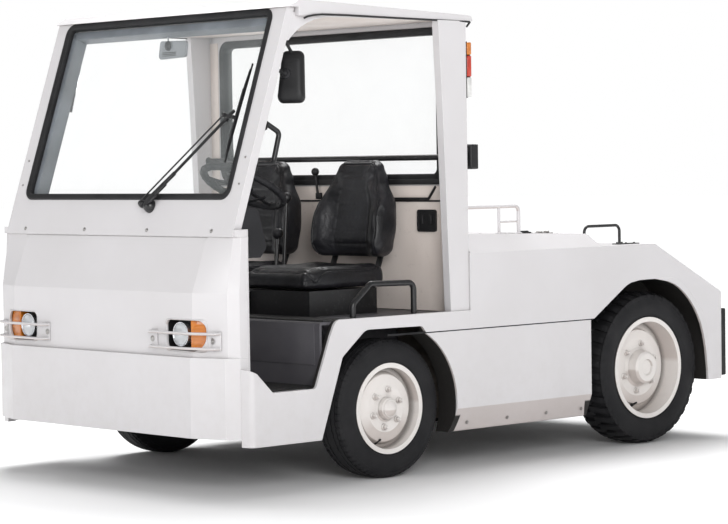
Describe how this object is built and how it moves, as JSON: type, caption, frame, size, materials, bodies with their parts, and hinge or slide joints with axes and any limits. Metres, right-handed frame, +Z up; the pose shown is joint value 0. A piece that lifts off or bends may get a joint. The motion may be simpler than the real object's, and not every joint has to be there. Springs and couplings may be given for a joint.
{
  "type": "airport baggage tug",
  "caption": "Two-seat airport baggage tug with an open-sided cab, steered front wheels, hinged engine lid and a stepped drawbar jaw at the tail.",
  "frame": {"origin": "on the floor, midway along the length and width", "axes": "+Z up, -Y towards the front of the vehicle, +X towards its left side"},
  "size_m": [1.76, 3.3002, 2.0568],
  "materials": {
    "black_paint": "semi-gloss black paint",
    "black_plastic": "matt black plastic",
    "body_white": "gloss off-white paint",
    "chassis_black": "matt black chassis paint",
    "engine_grey": "grey engine paint",
    "floor_grey": "dark grey floor",
    "glass": "clear, slightly blue",
    "grey_tube": "dark grey paint",
    "lamp_lens": "lamp housing with clear and amber lenses",
    "lamp_red": "amber, red and clear lens",
    "rubber": "matt black rubber",
    "steel": "bare steel",
    "tyre": "matt black rubber",
    "vinyl": "semi-gloss black vinyl",
    "wheel_white": "semi-gloss off-white paint"
  },
  "bodies": {
    "tug": {"cab_floor": "floor_grey", "cab_front": "body_white", "cab_rear_wall": "body_white", "chassis_frame": "chassis_black", "deck_handle_left": "black_paint", "deck_handle_right": "black_paint", "deck_rail_left": "body_white", "deck_rail_right": "body_white", "engine_block": "engine_grey", "front_axle": "chassis_black", "front_bumper_plate": "body_white", "front_cover": "body_white", "grab_handle_left": "grey_tube", "grab_handle_right": "grey_tube", "headlamp_left": "lamp_lens", "headlamp_right": "lamp_lens", "hip_guard_left": "black_paint", "hip_guard_right": "black_paint", "instrument_panel": "black_plastic", "interior_mirror": "black_plastic", "lamp_guard_left": "body_white", "lamp_guard_right": "body_white", "mirror_left": "black_plastic", "mirror_right": "black_plastic", "rear_axle": "chassis_black", "rear_body": "body_white", "rear_bumper": "rubber", "rear_lamp_left": "lamp_red", "rear_lamp_right": "lamp_red", "rear_window": "glass", "roof": "body_white", "seat_back_left": "vinyl", "seat_back_right": "vinyl", "seat_base": "black_paint", "seat_cushion_left": "vinyl", "seat_cushion_right": "vinyl", "side_panel_left": "body_white", "side_panel_right": "body_white", "skirt_left": "body_white", "skirt_right": "body_white", "steering_wheel": "black_plastic", "tow_hitch": "black_paint", "windscreen": "glass", "wiper": "black_plastic", "work_lamp_left": "black_plastic", "work_lamp_right": "black_plastic"},
    "knuckle_left": {"knuckle_left": "chassis_black"},
    "front_wheel_left": {"front_tyre_left": "tyre", "front_rim_left": "wheel_white"},
    "rear_wheel_left": {"rear_tyre_left": "tyre", "rear_rim_left": "wheel_white"},
    "knuckle_right": {"knuckle_right": "chassis_black"},
    "front_wheel_right": {"front_tyre_right": "tyre", "front_rim_right": "wheel_white"},
    "rear_wheel_right": {"rear_tyre_right": "tyre", "rear_rim_right": "wheel_white"},
    "tie_rod": {"tie_rod": "steel"},
    "hood": {"engine_hood": "body_white"},
    "hitch_pin": {"hitch_pin": "steel"}
  },
  "joints": [
    {"name": "steer_left", "type": "hinge", "parent": "tug", "child": "knuckle_left", "pos_m": [0.645, -0.67915, 0.303], "axis": [0, 0, 1], "range_deg": [-35, 35]},
    {"name": "steer_right", "type": "hinge", "parent": "tug", "child": "knuckle_right", "pos_m": [-0.645, -0.67915, 0.303], "axis": [0, 0, 1], "range_deg": [-35, 35]},
    {"name": "tie_rod_pivot", "type": "hinge", "parent": "knuckle_left", "child": "tie_rod", "pos_m": [0.645, -0.55915, 0.2315], "axis": [0, 0, 1], "range_deg": [-35, 35]},
    {"name": "front_wheel_spin_left", "type": "hinge", "parent": "knuckle_left", "child": "front_wheel_left", "pos_m": [0.745, -0.67915, 0.303], "axis": [1, 0, 0], "continuous": true},
    {"name": "front_wheel_spin_right", "type": "hinge", "parent": "knuckle_right", "child": "front_wheel_right", "pos_m": [-0.745, -0.67915, 0.303], "axis": [1, 0, 0], "continuous": true},
    {"name": "rear_wheel_spin_left", "type": "hinge", "parent": "tug", "child": "rear_wheel_left", "pos_m": [0.733, 1.04285, 0.365], "axis": [1, 0, 0], "continuous": true},
    {"name": "rear_wheel_spin_right", "type": "hinge", "parent": "tug", "child": "rear_wheel_right", "pos_m": [-0.733, 1.04285, 0.365], "axis": [1, 0, 0], "continuous": true},
    {"name": "hood_hinge", "type": "hinge", "parent": "tug", "child": "hood", "pos_m": [0, -0.19215, 1.0531], "axis": [1, 0, 0], "range_deg": [0, 70]},
    {"name": "hitch_pin_lift", "type": "slide", "parent": "tug", "child": "hitch_pin", "axis": [0, 0, 1], "range_m": [0, 0.25]}
  ],
  "couplings": [
    {"joint": "steer_right", "follows": "steer_left", "ratio": 1},
    {"joint": "tie_rod_pivot", "follows": "steer_left", "ratio": -1}
  ]
}
